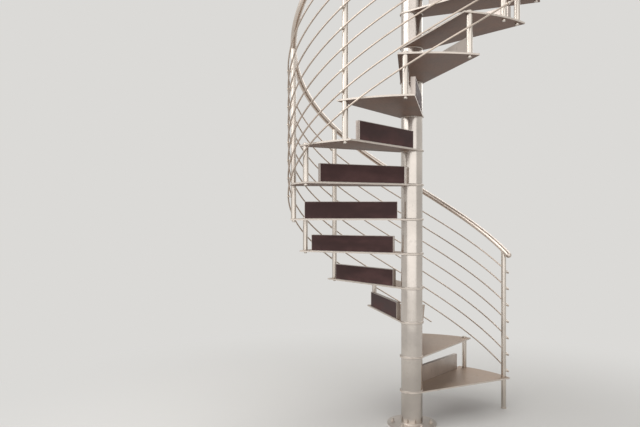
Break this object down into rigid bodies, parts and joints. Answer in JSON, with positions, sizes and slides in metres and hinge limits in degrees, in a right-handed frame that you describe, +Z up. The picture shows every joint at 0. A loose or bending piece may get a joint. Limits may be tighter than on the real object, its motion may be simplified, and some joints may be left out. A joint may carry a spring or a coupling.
{
  "type": "spiral staircase",
  "caption": "Steel spiral staircase: sector treads round a central column, tall and tie posts, a helical handrail, infill rods outside the posts, and a guarded top landing.",
  "frame": {"origin": "on the column's axis, at the underside of the base flange", "axes": "+Z up along the column; +X right and +Y away from a viewer who stands where the picture was taken; the stair climbs counterclockwise seen from above, and its landing is in the +X +Y quarter"},
  "size_m": [1.6429, 1.7176, 4.14],
  "materials": {
    "column_steel": "bright brushed stainless steel",
    "flange_steel": "dull brushed stainless steel",
    "tread_plate": "satin steel plate, brown grey from below",
    "landing_plate": "satin steel plate",
    "riser_bar": "light satin steel box bar",
    "dark_panel": "dark brown satin enamel",
    "post_steel": "bright brushed stainless steel tube",
    "rail_steel": "brushed stainless steel tube",
    "rod_steel": "bright drawn stainless steel rod"
  },
  "bodies": {
    "root": {"base_flange": "flange_steel", "column": "column_steel", "column_cap": "column_steel", "tread_01": "tread_plate", "tread_02": "tread_plate", "tread_03": "tread_plate", "tread_04": "tread_plate", "tread_05": "tread_plate", "tread_06": "tread_plate", "tread_07": "tread_plate", "tread_08": "tread_plate", "tread_09": "tread_plate", "tread_10": "tread_plate", "tread_11": "tread_plate", "tread_12": "tread_plate", "tread_13": "tread_plate", "riser_bars": "riser_bar", "bar_panels": "dark_panel", "newel_post": "post_steel", "top_newel": "post_steel", "baluster_1": "post_steel", "baluster_2": "post_steel", "baluster_3": "post_steel", "baluster_4": "post_steel", "baluster_5": "post_steel", "tie_posts": "post_steel", "handrail": "rail_steel", "infill_rod_1": "rod_steel", "infill_rod_2": "rod_steel", "infill_rod_3": "rod_steel", "infill_rod_4": "rod_steel", "infill_rod_5": "rod_steel", "infill_rod_6": "rod_steel", "infill_rod_7": "rod_steel", "infill_rod_8": "rod_steel", "landing": "landing_plate", "landing_fixing": "flange_steel", "guard_posts": "post_steel", "guard_rail": "rail_steel", "guard_rods": "rod_steel"}
  },
  "joints": []
}
